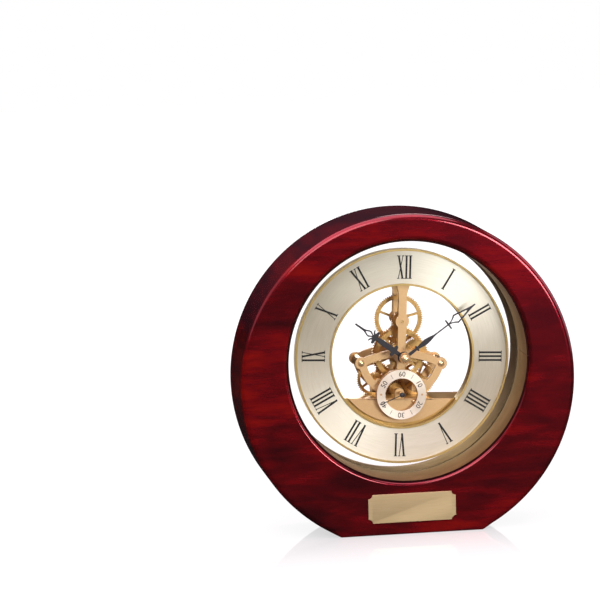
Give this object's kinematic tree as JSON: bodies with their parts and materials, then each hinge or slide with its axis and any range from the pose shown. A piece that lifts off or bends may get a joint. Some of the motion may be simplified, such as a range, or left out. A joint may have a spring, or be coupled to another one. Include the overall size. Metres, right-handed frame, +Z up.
{
  "type": "tambour mantel clock",
  "caption": "Mantel clock: round red wooden block cut flat below, with a gold skeleton movement seen through a clear window in its bore",
  "frame": {"origin": "centre of the base, on the surface that the clock stands on", "axes": "+X to the right seen from the front, -Y out of the dial, +Z up"},
  "size_m": [0.19, 0.0486, 0.181],
  "materials": {
    "rosewood": "red rosewood under gloss lacquer",
    "felt": "black felt",
    "satin_gold": "satin gold plate",
    "lining_metal": "brushed champagne",
    "clear_pane": "clear polished",
    "polished_gold": "polished gold plate",
    "dial_metal": "circular brushed champagne",
    "black_print": "matt black",
    "plate_gold": "matt gold plate",
    "wheel_gold": "polished gold plate",
    "arbor_steel": "turned steel",
    "screw_gold": "polished",
    "ring_metal": "silvered satin",
    "gold_plastic": "gold coated plastic",
    "cell_label": "plain dark sleeve",
    "contact_metal": "nickel plate",
    "board_green": "green solder mask",
    "hand_black": "dark grey lacquer",
    "copper_wire": "enamelled copper",
    "motor_iron": "plain laminated iron",
    "motor_plastic": "gold coloured plastic"
  },
  "bodies": {
    "clock_case": {"case_body": "rosewood", "base_pad": "felt", "front_plaque": "satin_gold", "front_liner": "lining_metal", "rear_liner": "lining_metal", "clear_window": "clear_pane", "insert_shell": "polished_gold", "dial_ring": "dial_metal", "hour_numerals": "black_print", "rear_ring": "satin_gold", "rear_ring_screws": "screw_gold", "front_plate": "plate_gold", "back_plate": "plate_gold", "front_plate_screws": "screw_gold", "back_plate_screws": "screw_gold", "left_pillar": "wheel_gold", "right_pillar": "wheel_gold", "top_pillar": "wheel_gold", "seconds_ring": "ring_metal", "seconds_ring_pins": "screw_gold", "seconds_marks": "black_print", "top_bush": "screw_gold", "battery_box": "gold_plastic", "battery_cell": "cell_label", "battery_contacts": "contact_metal", "battery_spring": "contact_metal", "circuit_board": "board_green", "battery_box_front": "plate_gold", "battery_box_screws": "screw_gold", "minute_wheel_stud": "arbor_steel", "motor_cover": "motor_plastic", "motor_stator": "motor_iron", "coil_bobbin": "motor_plastic", "coil_winding": "copper_wire", "seconds_bridge": "plate_gold"},
    "minute_train": {"minute_arbor": "arbor_steel", "minute_hand": "hand_black", "hub_nut": "polished_gold", "centre_wheel": "wheel_gold", "cannon_pinion": "wheel_gold", "setting_knob": "polished_gold"},
    "hour_train": {"hour_wheel": "wheel_gold", "hour_pipe": "wheel_gold", "hour_hand": "hand_black"},
    "motion_wheel": {"minute_wheel": "wheel_gold"},
    "top_train": {"top_arbor": "arbor_steel", "top_wheel": "wheel_gold", "top_pinion": "wheel_gold"},
    "idler_train": {"idler_wheel": "wheel_gold", "idler_pinion": "wheel_gold"},
    "left_train": {"left_arbor": "arbor_steel", "left_wheel": "wheel_gold", "left_pinion": "wheel_gold"},
    "right_train": {"right_arbor": "arbor_steel", "right_wheel": "wheel_gold"},
    "seconds_train": {"seconds_arbor": "arbor_steel", "seconds_pinion": "wheel_gold", "second_hand": "hand_black", "motor_rotor": "motor_iron"},
    "battery_cover": {"battery_cover": "gold_plastic"}
  },
  "joints": [
    {"name": "minute_turn", "type": "hinge", "parent": "clock_case", "child": "minute_train", "pos_m": [0, 0, 0.09801], "axis": [0, 1, 0], "continuous": true},
    {"name": "hour_turn", "type": "hinge", "parent": "clock_case", "child": "hour_train", "pos_m": [0, 0, 0.09801], "axis": [0, 1, 0], "continuous": true},
    {"name": "motion_turn", "type": "hinge", "parent": "clock_case", "child": "motion_wheel", "pos_m": [0.0088, 0, 0.09991], "axis": [0, 1, 0], "continuous": true},
    {"name": "top_turn", "type": "hinge", "parent": "clock_case", "child": "top_train", "pos_m": [0.00095, 0, 0.11738], "axis": [0, 1, 0], "continuous": true},
    {"name": "idler_turn", "type": "hinge", "parent": "clock_case", "child": "idler_train", "pos_m": [0, 0, 0.09801], "axis": [0, 1, 0], "continuous": true},
    {"name": "left_turn", "type": "hinge", "parent": "clock_case", "child": "left_train", "pos_m": [-0.01324, 0, 0.08313], "axis": [0, 1, 0], "continuous": true},
    {"name": "right_turn", "type": "hinge", "parent": "clock_case", "child": "right_train", "pos_m": [0.01173, 0, 0.08191], "axis": [0, 1, 0], "continuous": true},
    {"name": "seconds_turn", "type": "hinge", "parent": "clock_case", "child": "seconds_train", "pos_m": [-0.00106, 0, 0.07633], "axis": [0, 1, 0], "continuous": true},
    {"name": "battery_cover_slide", "type": "slide", "parent": "clock_case", "child": "battery_cover", "axis": [-0.0488, 0, -0.9988], "range_m": [0, 0.016]}
  ],
  "couplings": [
    {"joint": "hour_turn", "follows": "minute_turn", "ratio": 0.083333},
    {"joint": "motion_turn", "follows": "minute_turn", "ratio": -0.33333},
    {"joint": "top_turn", "follows": "minute_turn", "ratio": -3},
    {"joint": "idler_turn", "follows": "minute_turn", "ratio": 7.5},
    {"joint": "left_turn", "follows": "minute_turn", "ratio": -24},
    {"joint": "right_turn", "follows": "minute_turn", "ratio": -24},
    {"joint": "seconds_turn", "follows": "minute_turn", "ratio": 60}
  ]
}
